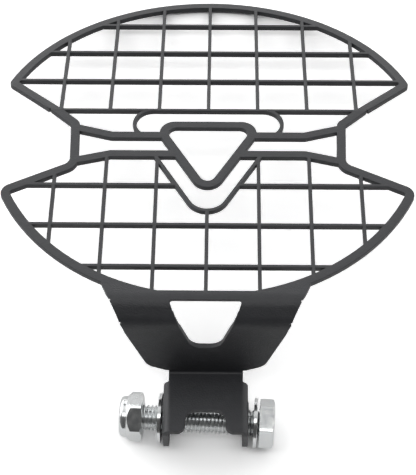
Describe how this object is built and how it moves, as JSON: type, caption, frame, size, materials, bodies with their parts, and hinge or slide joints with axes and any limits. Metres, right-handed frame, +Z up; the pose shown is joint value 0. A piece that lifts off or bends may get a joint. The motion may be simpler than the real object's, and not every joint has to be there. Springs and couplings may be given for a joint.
{
  "type": "motorcycle headlight guard",
  "caption": "Folded sheet-steel grille guard for a round motorcycle headlight, square mesh with a narrow triangle waist and a clevis bracket that clamps on its bolt.",
  "frame": {"origin": "centre of the bounding box at the table that the guard lies on", "axes": "+X along the clamp bolt towards its head, +Y from the clevis towards the top of the grille, +Z up, out of the grille's front face"},
  "size_m": [0.1648, 0.2068, 0.0537],
  "materials": {
    "powder_coated_steel": "fine-textured satin black powder coat",
    "zinc_plated_steel": "bright zinc plating",
    "nylon": "plain natural nylon"
  },
  "bodies": {
    "root": {"guard_plate": "powder_coated_steel", "hex_bolt": "zinc_plated_steel", "lock_nut": "zinc_plated_steel", "nut_insert": "nylon", "nut_side_washer": "zinc_plated_steel", "head_side_washer": "zinc_plated_steel"}
  },
  "joints": []
}
